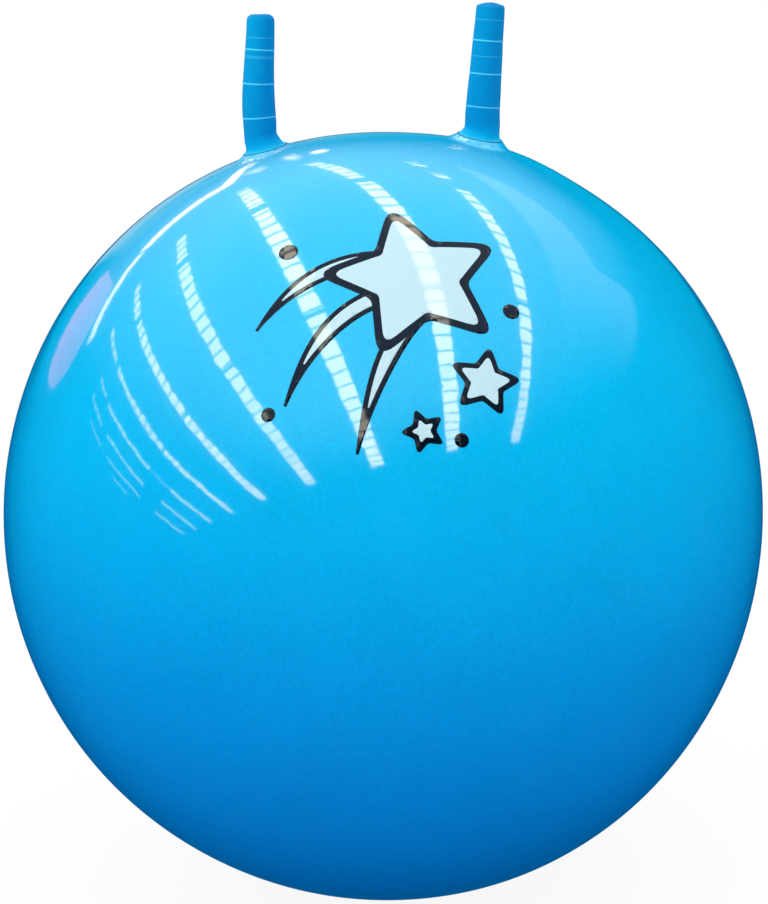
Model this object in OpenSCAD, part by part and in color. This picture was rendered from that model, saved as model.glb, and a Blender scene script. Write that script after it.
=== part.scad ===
// Hopper ball: a blown-up vinyl ball with two ringed hand horns on top and a stoppered air valve
// at the back. Millimetres, +Z up. The origin is the middle of the flat patch that the ball rests
// on, the front of the ball faces -Y and the horns stand side by side along X.

/* [Ball] */
// Width of the blown-up ball
ball_d = 600; // [450:5:700]
// How much taller than wide the blown-up ball is
ball_stretch = 5; // [1:0.5:20]
// Thickness of the vinyl skin
skin_wall = 1; // [0.8:0.1:2]
// How deep the resting patch is pressed in
foot_depth = 2.2; // [1:0.1:5]

/* [Horn feet] */
// Lean of a horn's foot away from the ball's upright axis, in degrees
horn_splay = 15.7; // [9:0.1:24]
// Width of the seam where a horn's foot meets the skin
seam_d = 33.5; // [32:0.5:42]
// How far from a horn's axis the drawn-up skin reaches
neck_reach = 27; // [26:0.5:45]
// How far the skin is drawn up under the left horn
left_neck_rise = 2.4; // [2:0.1:7]
// How far the skin is drawn up under the right horn
right_neck_rise = 5.2; // [2:0.1:7]
// Angle at which the drawn-up skin leaves the round of the ball, in degrees
neck_turn = 6; // [3:0.5:8]
// Thickness of the moulded plate that closes the skin under a horn
neck_plate = 3; // [2:0.1:4]
// Width of the collar that locates a horn on its plate
collar_d = 20; // [18:0.5:21]
// Height of that collar above the seam
collar_h = 4; // [2:0.5:6]
// Wall of the collar
collar_wall = 3; // [1.5:0.1:5]

/* [Horn roots] */
// Length of the bending root, from the seam to the grip
root_len = 22.5; // [18:0.5:34]
// Height of the flare at the foot of the root
flare_h = 9; // [5:0.5:14]

/* [Horn grips] */
// Width of a grip at its lower end
grip_d = 25.1; // [24:0.1:29]
// Width of a grip at its tip
tip_d = 20.4; // [18:0.1:24]
// Wall of a grip
grip_wall = 3.2; // [2:0.1:4]
// Number of raised rings on a grip
ring_count = 3; // [1:1:5]
// Distance from one raised ring to the next
ring_pitch = 25.2; // [15:0.1:32]
// Distance from a grip's lower end to its first ring
ring_inset = 1.5; // [1.2:0.1:4]
// Width of a raised ring
ring_w = 1.6; // [1:0.1:2.4]
// How far a ring stands out of the grip
ring_proud = 0.5; // [0.2:0.1:0.7]
// Radius of the rounded edge round a tip
tip_edge = 3.4; // [1:0.1:6]
// How far the middle of a tip domes up
tip_dome = 1.6; // [0.4:0.1:2.5]
// Outward lean of the left grip, in degrees, where less than zero is inward
left_lean = -2.2; // [-10:0.1:16]
// Outward lean of the right grip, in degrees
right_lean = 5; // [-10:0.1:16]

/* [Valve] */
// How far below the ball's middle the valve sits, in degrees
valve_drop = 25; // [5:1:45]
// Width of the valve seat where it shows in the skin
seat_d = 24; // [21:0.5:28]
// How far the seat's rim stands out of the skin
seat_proud = 0.8; // [0.4:0.1:1.5]
// Width of the flange bonded under the skin
flange_d = 36; // [32:0.5:50]
// Thickness of that flange
flange_t = 1.6; // [1:0.1:3]
// Width of the seat's tube inside the ball
tube_d = 14; // [12:0.5:17]
// Length of the seat, from its rim to the end of its tube
seat_len = 16; // [13:0.5:22]
// Width of the air bore
bore_d = 8; // [6:0.1:9]
// Width of the plug's head
head_d = 16; // [14:0.1:17]
// Thickness of the plug's head
head_t = 2.2; // [1.5:0.1:3]
// Length of the plug's shank under its head
shank_len = 17; // [14:0.5:22]
// Number of sealing grooves round the shank
groove_count = 2; // [0:1:3]
// Distance from one sealing groove to the next
groove_pitch = 3.5; // [3:0.1:4]
// Width of a sealing groove
groove_w = 1; // [0.6:0.1:1.5]
// Width of the fingernail notch beside the plug's head
notch_w = 5; // [3:0.1:7]

/* [Fits] */
// Gap all round the plug's shank in the air bore
plug_gap = 0.05; // [0.02:0.01:0.1]
// Gap all round the plug's head in its recess
head_gap = 0.4; // [0.2:0.1:0.8]
// Room for the weld round the valve seat
weld_gap = 0.1; // [0.05:0.01:0.2]
// Room for the glue round a horn's collar
glue_gap = 0.4; // [0.3:0.05:0.6]
// Gap between a bending root and the grip on it
grip_gap = 0.05; // [0.02:0.01:0.2]

/* [Hidden] */
$fn = 180;

skin_colour = "#2fb8f2";
horn_colour = "#0a93d6";
seat_colour = "#1aa6e6";
plug_colour = "#f2f2ee";

// One overrun for every cut
cut = 1;
// How far the drawn-up skin's own solid runs on under the round of the ball
neck_lap = 1;
// How deep the solid under each neck starts below the top of the round
neck_root = 12;

ball_r = ball_d / 2;
inner_r = ball_r - skin_wall;
mid_z = ball_r + ball_stretch / 2 - foot_depth;
top_centre_z = mid_z + ball_stretch / 2;
low_centre_z = mid_z - ball_stretch / 2;

seam_r = seam_d / 2;
collar_r = collar_d / 2;
collar_bore_r = collar_r - collar_wall;

// Past its last ring a grip goes on for one more pitch, and its tip domes up from there
grip_len = ring_inset + ring_count * ring_pitch + tip_dome;
taper = (grip_d - tip_d) / 2 / grip_len;
taper_angle = atan(taper);

// Sides of a root's cross-section, and steps up its flare and its bend
root_sides = 40;
flare_steps = 6;
bend_steps = 8;
// Steps round the edge of a tip
edge_steps = 8;

// The round of the ball, as half a cross-section of radius r whose foot is pressed in to foot_z
module round_half(r, foot_z) {
    intersection() {
        union() {
            translate([0, top_centre_z]) circle(r);
            translate([0, low_centre_z]) circle(r);
            translate([-r, low_centre_z]) square([2 * r, ball_stretch]);
        }
        translate([0, foot_z]) square([ball_d, 2 * ball_d]);
    }
}

// Height of a round of radius r above its centre, at the distance x from the axis
function round_h(r, x) = sqrt(r * r - x * x);

// The drawn-up skin is a hollow curve from the round of the ball, at neck_reach, to the seam.
// These give its slope at the ball, its chord, its radius and the centre of that radius.
function neck_slope() = asin(neck_reach / ball_r) + neck_turn;
function neck_chord(rise) = [neck_reach - seam_r, ball_r + rise - round_h(ball_r, neck_reach)];
function neck_sweep(rise) = atan(neck_chord(rise)[1] / neck_chord(rise)[0]) - neck_slope();
function neck_curve(rise) = norm(neck_chord(rise)) / 2 / sin(neck_sweep(rise));
function neck_centre(rise) = [neck_reach, round_h(ball_r, neck_reach)]
    + neck_curve(rise) * [sin(neck_slope()), cos(neck_slope())];

// Stands a shape drawn up the Z axis on a horn's foot axis, with the ball's upper centre at zero
module at_foot(side) {
    translate([0, 0, top_centre_z]) rotate([0, side * horn_splay, 0]) children();
}

// Stands a shape drawn up the Z axis on the valve's axis, with the ball's lower centre at zero
module at_valve() {
    translate([0, 0, low_centre_z]) rotate([-90 - valve_drop, 0, 0]) children();
}

// The solid under one drawn-up neck: up to top_h, and curve wide of the neck's centre
module neck_solid(rise, top_h, curve) {
    low_h = ball_r - neck_root;
    rotate_extrude() difference() {
        translate([0, low_h]) square([neck_reach + neck_lap, top_h - low_h]);
        translate(neck_centre(rise)) circle(curve);
    }
}

// The ball with both necks and collars, solid all through
module skin_outside() {
    rotate_extrude() round_half(ball_r, 0);
    for (horn = [[-1, left_neck_rise], [1, right_neck_rise]]) at_foot(horn[0]) {
        neck_solid(horn[1], ball_r + horn[1], neck_curve(horn[1]));
        translate([0, 0, ball_r + horn[1] - neck_plate])
            cylinder(r = collar_r, h = neck_plate + collar_h);
    }
}

// The air inside, with the way up into both horns
module skin_inside() {
    rotate_extrude() round_half(inner_r, skin_wall);
    for (horn = [[-1, left_neck_rise], [1, right_neck_rise]]) at_foot(horn[0]) {
        neck_solid(horn[1], ball_r + horn[1] - neck_plate, neck_curve(horn[1]) + skin_wall);
        translate([0, 0, ball_r - neck_root])
            cylinder(r = collar_bore_r, h = neck_root + horn[1] + collar_h + cut);
    }
}

module ball_skin() {
    color(skin_colour) difference() {
        skin_outside();
        skin_inside();
        at_valve() translate([0, 0, ball_r - neck_root]) cylinder(d = seat_d, h = neck_root + cut);
    }
}

// Distances up a root, from the seam: close together round the flare, then even up the bend
root_stations = concat(
    [for (i = [0:flare_steps - 1]) flare_h * (1 - cos(90 * i / flare_steps))],
    [for (i = [0:bend_steps]) flare_h + (root_len - grip_gap - flare_h) * i / bend_steps]
);

// A root starts square to the skin and turns smoothly into line with its grip
function ease(share) = share * share * (3 - 2 * share);
function root_angle(side, lean, s) = side * (horn_splay + (lean - horn_splay) * ease(s / root_len));
function along(angle) = [sin(angle), 0, cos(angle)];
function across(angle) = [cos(angle), 0, -sin(angle)];
function seam_point(side, rise) = [0, 0, top_centre_z] + (ball_r + rise) * along(side * horn_splay);
function root_point(side, rise, lean, k) = k == 0 ? seam_point(side, rise)
    : root_point(side, rise, lean, k - 1) + (root_stations[k] - root_stations[k - 1])
        * along(root_angle(side, lean, (root_stations[k] + root_stations[k - 1]) / 2));

// The outside follows the grip's own taper down to the seam, and flares out over flare_h
function straight_r(s) = grip_d / 2 + (root_len - s) * taper;
function flare_share(s) = s < flare_h ? 1 - sqrt(1 - pow(1 - s / flare_h, 2)) : 0;
function root_outer_r(s) = straight_r(s) + (seam_r - straight_r(0)) * flare_share(s);
function root_inner_r(s) = collar_r + glue_gap
    + (grip_d / 2 - grip_wall - collar_r - glue_gap) * s / root_len;

// One bending root, lofted through round sections that stay square to its own middle line
module horn_root(side, rise, lean) {
    last = len(root_stations) - 1;
    n = root_sides;
    inner = (last + 1) * n;
    points = [for (wall = [0, 1]) for (k = [0:last]) for (i = [0:n - 1])
        let(s = root_stations[k], a = root_angle(side, lean, s), turn = 360 * i / n)
        root_point(side, rise, lean, k) + (wall == 0 ? root_outer_r(s) : root_inner_r(s))
            * (cos(turn) * across(a) + [0, sin(turn), 0])];
    walls = [for (k = [0:last - 1]) for (i = [0:n - 1])
        let(a = k * n + i, b = k * n + (i + 1) % n, c = b + n, d = a + n)
        each [[a, d, c], [a, c, b], [inner + a, inner + b, inner + c], [inner + a, inner + c, inner + d]]];
    ends = [for (i = [0:n - 1])
        let(a = i, b = (i + 1) % n, c = last * n + a, d = last * n + b)
        each [[a, b, inner + b], [a, inner + b, inner + a], [c, inner + d, d], [c, inner + c, inner + d]]];
    polyhedron(points, concat(walls, ends), convexity = 4);
}

// Half cross-section of a grip's outside: a taper, a rounded edge and a slightly domed tip
module grip_half() {
    edge_z = grip_len - tip_dome - tip_edge;
    edge_x = grip_d / 2 - edge_z * taper - tip_edge / cos(taper_angle);
    edge_turn = 90 - taper_angle - tip_turn();
    polygon(concat(
        [[0, 0], [grip_d / 2, 0]],
        [for (i = [0:edge_steps]) let(a = taper_angle + edge_turn * i / edge_steps)
            [edge_x, edge_z] + tip_edge * [cos(a), sin(a)]],
        [[0, grip_len]]
    ));
}

// Slope of the dome where it meets the rounded edge
function tip_turn() = atan(2 * tip_dome / (tip_d - 2 * tip_edge));

function grip_r(z) = grip_d / 2 - z * taper;

module horn_grip() {
    // The round of a ring sits so deep that it stands ring_proud out and is ring_w wide
    bead_r = (ring_proud * ring_proud + ring_w * ring_w / 4) / (2 * ring_proud);
    bore_len = grip_len - grip_wall - tip_dome;
    rotate_extrude() difference() {
        union() {
            grip_half();
            for (i = [0:ring_count - 1]) let(z = ring_inset + i * ring_pitch)
                translate([grip_r(z) + ring_proud - bead_r, z]) circle(bead_r, $fn = 48);
        }
        polygon([[-cut, -cut], [grip_r(-cut) - grip_wall, -cut], [grip_r(bore_len) - grip_wall, bore_len],
            [-cut, bore_len]]);
    }
}

// Stands a grip just clear of the upper end of its root
module at_root_top(side, rise, lean) {
    translate(root_point(side, rise, lean, len(root_stations) - 1) + grip_gap * along(side * lean))
        rotate([0, side * lean, 0]) children();
}

module left_horn_root() {
    color(horn_colour) horn_root(-1, left_neck_rise, left_lean);
}

module left_horn_grip() {
    color(horn_colour) at_root_top(-1, left_neck_rise, left_lean) horn_grip();
}

module right_horn_root() {
    color(horn_colour) horn_root(1, right_neck_rise, right_lean);
}

module right_horn_grip() {
    color(horn_colour) at_root_top(1, right_neck_rise, right_lean) horn_grip();
}

// Heights of the seat's rim and of the recess floor under the plug's head, from the lower centre
rim_h = round_h(ball_r, seat_d / 2) + seat_proud;
recess_h = rim_h - head_t;
recess_r = head_d / 2 + head_gap;

module valve_seat() {
    color(seat_colour) at_valve() difference() {
        rotate_extrude() difference() {
            union() {
                // The boss that fills the hole in the skin
                translate([0, recess_h - flange_t]) square([seat_d / 2 - weld_gap, head_t + flange_t]);
                // The flange, curved to lie under the skin
                intersection() {
                    circle(inner_r - weld_gap);
                    translate([0, round_h(inner_r, flange_d / 2) - flange_t])
                        square([flange_d / 2, ball_d - inner_r]);
                }
                // The tube that grips the plug
                translate([0, rim_h - seat_len]) square([tube_d / 2, seat_len]);
            }
            translate([-cut, rim_h - seat_len - cut]) square([bore_d / 2 + cut, seat_len + 2 * cut]);
            translate([-cut, recess_h]) square([recess_r + cut, head_t + cut]);
        }
        // The notch that lets a fingernail under the plug's head
        translate([0, -recess_r, recess_h]) cylinder(d = notch_w, h = head_t + cut);
    }
}

module valve_plug() {
    shank_r = bore_d / 2 - plug_gap;
    tip_h = recess_h - shank_len;
    // The head is crowned, so its rim is thinner than its middle
    crown_share = 0.4;
    crown = head_t * crown_share;
    crown_r = (pow(head_d / 2, 2) + crown * crown) / (2 * crown);
    first_groove_h = recess_h - (shank_len - (groove_count - 1) * groove_pitch) / 2;
    color(plug_colour) at_valve() rotate_extrude() difference() {
        intersection() {
            polygon([[0, recess_h + head_t], [head_d / 2, recess_h + head_t], [head_d / 2, recess_h],
                [shank_r, recess_h], [shank_r, tip_h + shank_r / 2], [shank_r / 2, tip_h], [0, tip_h]]);
            translate([0, recess_h + head_t - crown_r]) circle(crown_r);
        }
        for (i = [0:1:groove_count - 1])
            translate([shank_r + groove_w / 4, first_groove_h - i * groove_pitch])
                circle(groove_w / 2, $fn = 32);
    }
}

ball_skin();
left_horn_root();
left_horn_grip();
right_horn_root();
right_horn_grip();
valve_seat();
valve_plug();
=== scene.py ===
import math

import bmesh
import bpy
import numpy as np
from mathutils import Matrix, Vector, noise


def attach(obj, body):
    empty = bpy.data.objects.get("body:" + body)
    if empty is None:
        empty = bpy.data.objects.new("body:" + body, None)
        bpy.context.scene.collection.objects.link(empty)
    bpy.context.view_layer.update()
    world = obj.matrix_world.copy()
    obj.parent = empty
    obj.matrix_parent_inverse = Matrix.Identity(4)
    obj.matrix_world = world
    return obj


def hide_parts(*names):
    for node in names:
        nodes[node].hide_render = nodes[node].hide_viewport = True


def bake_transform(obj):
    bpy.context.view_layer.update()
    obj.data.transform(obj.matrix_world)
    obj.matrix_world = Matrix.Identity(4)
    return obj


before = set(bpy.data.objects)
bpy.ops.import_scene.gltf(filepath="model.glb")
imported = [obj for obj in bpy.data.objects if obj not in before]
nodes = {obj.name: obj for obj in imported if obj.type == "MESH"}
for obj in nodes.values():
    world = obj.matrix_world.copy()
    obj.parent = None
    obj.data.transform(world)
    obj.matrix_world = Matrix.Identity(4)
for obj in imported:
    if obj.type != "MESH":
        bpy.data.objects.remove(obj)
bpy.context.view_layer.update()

mm = 0.001  # the sizes below are in millimetres, Blender's are in metres


def hexToLinear(code):
    parts = [int(code[i:i + 2], 16) / 255 for i in (1, 3, 5)]
    return [v / 12.92 if v <= 0.04045 else ((v + 0.055) / 1.055) ** 2.4 for v in parts] + [1.0]


def setInputs(tree, node, inputs):
    # a list fills the sockets in order, a dictionary by name or number; a node stands for its first output
    for socket, value in inputs.items() if isinstance(inputs, dict) else enumerate(inputs):
        if isinstance(value, bpy.types.Node):
            value = value.outputs[0]
        if isinstance(value, bpy.types.NodeSocket):
            tree.links.new(value, node.inputs[socket])
        else:
            node.inputs[socket].default_value = value


def addNode(tree, kind, inputs=(), **settings):
    node = tree.nodes.new("ShaderNode" + kind)
    for name, value in settings.items():
        setattr(node, name, value)
    setInputs(tree, node, inputs)
    return node


def setRamp(node, stops, interpolation):
    ramp = node.color_ramp
    ramp.interpolation = interpolation
    while len(ramp.elements) > 1:
        ramp.elements.remove(ramp.elements[-1])
    ramp.elements[0].position = stops[0][0]
    ramp.elements[0].color = stops[0][1]
    for place, colour in stops[1:]:
        ramp.elements.new(place).color = colour
    return node


def smoothStep(low, high, value):
    t = np.clip((value - low) / (high - low), 0, 1)
    return t * t * (3 - 2 * t)


def throughKnots(knots, places):
    # a smooth line through (place, value) knots, with the slopes of a Catmull-Rom curve
    at, value = np.array(knots, float).T
    slope = np.gradient(value, at)
    places = np.clip(places, at[0], at[-1])
    i = np.clip(np.searchsorted(at, places, side="right") - 1, 0, len(at) - 2)
    span = at[i + 1] - at[i]
    t = (places - at[i]) / span
    return ((1 + 2 * t) * (1 - t) ** 2 * value[i] + t * (1 - t) ** 2 * span * slope[i]
            + t * t * (3 - 2 * t) * value[i + 1] + t * t * (t - 1) * span * slope[i + 1])


def addObject(name, data):
    piece = bpy.data.objects.new(name, data)
    bpy.context.scene.collection.objects.link(piece)
    return piece


def addPiece(name, points, faces, smooth=True):
    mesh = bpy.data.meshes.new(name)
    mesh.from_pydata(points, [], faces, shade_flat=not smooth)
    return addObject(name, mesh)


def addEdited(name, edited):
    # ends the editing of a mesh and adds it as a smooth piece
    mesh = bpy.data.meshes.new(name)
    edited.to_mesh(mesh)
    edited.free()
    mesh.shade_smooth()
    return addObject(name, mesh)


# The camera looks down a little on the ball from close by, and is rolled a touch.
cameraSetup = {
    "distance": 1830,  # from the ball's middle
    "height": 15,  # degrees above the level
    "roll": 1.8,  # degrees
    "frame": (768, 904),  # the picture in pixels
    "focalPixels": 2293.5,  # focal length in those pixels
    "middle": (383.5, 516),  # where the ball's middle falls in the picture
    "sensor": 24,
    "farthest": 200,  # metres
}


def makeCamera(setup, target):
    up = math.radians(setup["height"])
    roll = math.radians(setup["roll"])
    back = Vector((0, -math.cos(up), math.sin(up)))
    level = Vector((1, 0, 0))
    upright = back.cross(level)
    right = math.cos(roll) * level - math.sin(roll) * upright
    top = math.sin(roll) * level + math.cos(roll) * upright
    width, height = setup["frame"]
    data = bpy.data.cameras.new("camera")
    data.sensor_fit = "VERTICAL"
    data.sensor_height = setup["sensor"]
    data.lens = setup["focalPixels"] * setup["sensor"] / height
    data.shift_x = (width / 2 - setup["middle"][0]) / height
    data.shift_y = (setup["middle"][1] - height / 2) / height
    data.clip_end = setup["farthest"]
    camera = addObject("camera", data)
    place = Vector(target) * mm + back * setup["distance"] * mm
    rows = [[right[i], top[i], back[i], place[i]] for i in range(3)]
    camera.matrix_world = Matrix(rows + [[0, 0, 0, 1]])
    bpy.context.scene.camera = camera


ball = {
    "radius": 300,
    "halfHeight": 302.5,
    "middle": 300.3,  # height of the middle over the floor
    "footSoftness": 0.5,  # how gently the skin turns into the flat foot
    "lowest": 0.02,  # the foot's height over the floor
    "upperCentre": 302.8,  # the horns' feet point at this height
    "lowerCentre": 297.8,  # and the valve at this one
    "ripple": 0.16,  # depth of the slow unevenness of the blown skin
    "rippleWidth": 85,
    # how far the skin is out of round: swells round it, and how high they are across and upward
    "swells": [(0, -0.13, 0), (1, 0.19, 0.34), (2, -0.73, -0.1), (3, -0.34, 0.84), (4, -0.41, 0.67)],
    "swellFocus": 16,  # they are only near the outline, where they were measured
}

# Each neck is a flat seat for a horn's foot, with a short steep tent below it. Broad swells lie round them.
necks = {
    "left": {"side": -1, "splay": 15.65, "seam": 17.4, "rise": 2.4, "tilt": 3.2, "nod": 2.55,
             "reach": 31, "hollow": 3.0, "soft": 1.0},
    "right": {"side": 1, "splay": 15.66, "seam": 17.5, "rise": 6.6, "tilt": 3.76, "nod": 4.8,
              "reach": 23.9, "hollow": 1.1, "soft": 1.3},
}
# degrees to the right of the top, height and reach of each broad swell
broadSwells = [(15.66, 2.2, 45), (24.1, 1.6, 34)]

footEdge = 0.4  # how much of the horn's welded foot shows over its seat

# fine folds run out from each horn's foot: how many, their depth, how they fade and where they end
neckFolds = {"count": 4.5, "depth": 1.1, "fade": 17, "end": 90, "drift": 0.012}

valveHole = {"drop": 25, "radius": 10.2, "lip": 0.5, "lipReach": 19, "lipFull": 12}

# the skin's mesh is finer within these reaches of a horn's foot and of the valve
skinMesh = {"divisions": 7, "neckReaches": (50, 41, 35), "valveReaches": (30, 22)}


def neckAxis(neck):
    angle = math.radians(neck["splay"] * neck["side"])
    return np.array([math.sin(angle), 0, math.cos(angle)])


def valveAxis():
    angle = math.radians(valveHole["drop"])
    return np.array([0, math.cos(angle), -math.sin(angle)])


def aboutAxis(points, axis, centre):
    # how far out each point lies along an axis from this height, and where it is across the axis
    q = points - (0, 0, centre)
    along = q @ axis
    off = q - along[:, None] * axis
    return along, off, np.linalg.norm(off, axis=1)


def offAxis(points, axis, centre):
    along, off, r = aboutAxis(points, axis, centre)
    return np.where(along > 0, r, 1e9)


def skinPoints(directions):
    # where the blown skin lies in each direction from the ball's middle, in millimetres
    d = np.asarray(directions, float)
    d = d / np.linalg.norm(d, axis=1)[:, None]
    p = d * (ball["radius"], ball["radius"], ball["halfHeight"]) + (0, 0, ball["middle"])
    proud = ball["ripple"] * np.array([noise.noise(Vector(v) / ball["rippleWidth"]) for v in p])
    lean = math.radians(cameraSetup["height"])
    turned = d[:, 0] + 1j * (d[:, 1] * math.sin(lean) + d[:, 2] * math.cos(lean))
    for count, across, upward in ball["swells"]:
        swell = across * (turned ** count).real + upward * (turned ** count).imag
        proud += swell * abs(turned) ** ball["swellFocus"]
    for angle, height, reach in broadSwells:
        angle = math.radians(angle)
        away = np.linalg.norm(d - (math.sin(angle), 0, math.cos(angle)), axis=1) * ball["radius"]
        proud += height * np.exp(-(away / reach) ** 2)
    p += d * proud[:, None]

    for neck in necks.values():
        axis = neckAxis(neck)
        along, off, r = aboutAxis(p, axis, ball["upperCentre"])
        outward = np.cross((0, neck["side"], 0), axis)
        lean = (off @ outward) * math.tan(math.radians(neck["tilt"]))
        lean += off[:, 1] * math.tan(math.radians(neck["nod"]))
        # none at the tent's reach, one at the seam, with a soft turn out of the round skin
        soft = neck["soft"]
        tent = soft * np.logaddexp(0, (neck["reach"] - r) / soft) / (neck["reach"] - neck["seam"])
        share = np.minimum(1, tent) ** neck["hollow"]
        target = ball["radius"] + neck["rise"] - footEdge
        target = target + lean * np.minimum(1, neck["seam"] / np.maximum(r, 1))
        near = (r < neck["reach"] + 6 * soft) & (along > 0)
        p[near] += ((share * (target - along))[:, None] * axis)[near]

    axis = valveAxis()
    along, off, r = aboutAxis(p, axis, ball["lowerCentre"])
    lift = valveHole["lip"] * smoothStep(valveHole["lipReach"], valveHole["lipFull"], r)
    p += np.where((along > 0) & (r < valveHole["lipReach"]), lift, 0)[:, None] * axis
    p[:, 2] = (p[:, 2] + np.hypot(p[:, 2], ball["footSoftness"])) / 2
    p[:, 2] = np.maximum(p[:, 2], ball["lowest"])
    return p


def makeSkin():
    mesh = bmesh.new()
    bmesh.ops.create_icosphere(mesh, subdivisions=skinMesh["divisions"], radius=1)
    zones = [(neckAxis(n), ball["upperCentre"], skinMesh["neckReaches"]) for n in necks.values()]
    zones.append((valveAxis(), ball["lowerCentre"], skinMesh["valveReaches"]))
    for axis, centre, reaches in zones:
        for reach in reaches:
            points = np.array([v.co for v in mesh.verts]) * ball["radius"] + (0, 0, ball["middle"])
            near = offAxis(points, axis, centre) < reach
            edges = [e for e in mesh.edges if near[e.verts[0].index] and near[e.verts[1].index]]
            bmesh.ops.subdivide_edges(mesh, edges=edges, cuts=1, use_grid_fill=True)
            for v in mesh.verts:
                v.co.normalize()
            mesh.verts.index_update()
    places = skinPoints(np.array([v.co for v in mesh.verts]))
    for v, p in zip(mesh.verts, places):
        v.co = p * mm
    middles = np.array([f.calc_center_median() for f in mesh.faces]) / mm
    inHole = offAxis(middles, valveAxis(), ball["lowerCentre"]) < valveHole["radius"]
    bmesh.ops.delete(mesh, geom=[f for f, cut in zip(mesh.faces, inHole) if cut], context="FACES")
    bmesh.ops.triangulate(mesh, faces=mesh.faces)
    skin = addEdited("blownSkin", mesh)

    # how hard the horns pull at the skin, and where that is round the neck
    data = skin.data
    points = np.array([v.co for v in data.vertices]) / mm
    pull = np.zeros(len(points))
    way = np.zeros((len(points), 3))
    for neck in necks.values():
        axis = neckAxis(neck)
        off = offAxis(points, axis, ball["upperCentre"])
        near = off < neckFolds["end"]
        pull[near] = np.exp(-np.maximum(off[near] - neck["seam"], 0) / neckFolds["fade"])
        q = points - (0, 0, ball["upperCentre"])
        turn = np.arctan2(q[:, 1], q @ np.cross((0, 1, 0), axis))
        around = np.stack([np.cos(turn), np.sin(turn), off * neckFolds["drift"] + neck["side"]], 1)
        way[near] = around[near]
    data.attributes.new("neckPull", "FLOAT", "POINT").data.foreach_set("value", pull)
    data.attributes.new("neckWay", "FLOAT_VECTOR", "POINT").data.foreach_set("vector", way.ravel())
    print("skin:", len(data.polygons), "faces")
    return skin


# Each horn follows the bends of the real one: its middle line is given by places up the horn and how far
# from the ball's middle it stands there.
horns = {
    "left": {
        "side": -1, "foot": 594.0, "length": 101.2, "lean": 12.45, "nod": 2.55,
        "line": [(0, -81.6), (4, -83.1), (8, -84.3), (12, -84.8), (16, -84.85), (20, -84.85), (26, -85.05),
                 (32, -85.15), (40, -85.0), (50, -84.5), (60, -83.8), (70, -82.95), (80, -82.05),
                 (90, -81.3), (101, -80.7)],
        "radius": [(0, 13.2), (6, 13.1), (12, 12.5), (20, 12.65), (30, 12.65), (40, 12.35), (49, 12.0),
                   (62, 11.5), (75, 11.1), (92, 10.6), (101, 10.45)],
        "seam": 17.4, "flare": 7.5, "rings": (24.5, 49.9, 75.3), "scores": (69.2, 70.4, 84.3),
        "tipRound": 4.6, "tipDome": 0.15, "bendFoot": 0.5985,  # metres over the floor
    },
    "right": {
        "side": 1, "foot": 598.0, "length": 100.6, "lean": 11.9, "nod": 4.8,
        "line": [(0, 82.75), (4, 84.1), (8, 84.75), (12, 84.9), (16, 85.0), (20, 85.25), (26, 85.85),
                 (32, 86.4), (40, 87.15), (50, 88.15), (60, 89.1), (70, 89.96), (80, 91.03), (90, 92.07),
                 (100.5, 92.85)],
        "radius": [(0, 13.6), (8, 13.45), (12, 13.35), (24, 13.0), (37, 12.65), (48, 12.2), (63, 11.8),
                   (74, 11.4), (100, 10.7)],
        "seam": 17.5, "flare": 7.5, "rings": (23.2, 48.0, 72.6), "scores": (61.0, 88.0),
        "tipRound": 2.6, "tipDome": 1.6, "bendFoot": 0.6025,
    },
}
hornDetail = {
    "ringWidth": 1.25, "ringProud": 0.28, "undercut": 0.24, "undercutDrop": 1.25, "undercutWidth": 0.45,
    "scorePale": 0.45, "scoreWidth": 0.25,
    "leanEnd": 9, "nodEnd": 12,  # by these places up the horn its foot's own lean and nod are gone
    "foot": [(-1.8, 1.2), (-0.7, 0.15), (-0.45, 0)],  # places below the seam, and how far inside it
    # how close the mesh's rows are: at the foot, up the body, and round each ring and scored line
    "footStep": (4, 0.3), "bodyStep": 1.0, "ringSpan": (-2.4, 1.3), "scoreSpan": (-0.6, 0.6),
    "fineStep": 0.15, "tipStep": 7.5, "domeShares": (0.85, 0.7, 0.55, 0.4, 0.25, 0.12), "sides": 96,
    "bendReach": 0.0175,  # metres
}


def hornStations(horn):
    # places up the horn, close together at the foot, the rings, the scored lines and the tip
    edge = horn["length"] - horn["tipDome"] - horn["tipRound"]
    footEnd, footStep = hornDetail["footStep"]
    spans = [(0, footEnd, footStep), (footEnd, edge, hornDetail["bodyStep"])]
    for marks, reach in (("rings", "ringSpan"), ("scores", "scoreSpan")):
        below, above = hornDetail[reach]
        spans += [(mark + below, mark + above, hornDetail["fineStep"]) for mark in horn[marks]]
    places = [s for span in spans for s in np.arange(*span) if s < edge - 0.1]
    return np.unique(np.round(places + [edge], 3))


def ringBeads(horn, s):
    # how far the raised rings show at these places, from none to one
    out = np.zeros(np.shape(s))
    for ring in horn["rings"]:
        out += np.sqrt(np.clip(1 - ((s - ring) / hornDetail["ringWidth"] * 2) ** 2, 0, 1))
    return out


def hornRadius(horn, s):
    t = np.clip(1 - s / horn["flare"], 0, 1)
    flare = (horn["seam"] - horn["radius"][0][1]) * (1 - np.sqrt(1 - t * t))
    r = throughKnots(horn["radius"], s) + flare
    for ring in horn["rings"]:
        off = (s - ring + hornDetail["undercutDrop"]) / hornDetail["undercutWidth"]
        r -= hornDetail["undercut"] * np.exp(-off ** 2)
    return r + hornDetail["ringProud"] * ringBeads(horn, s)


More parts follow.
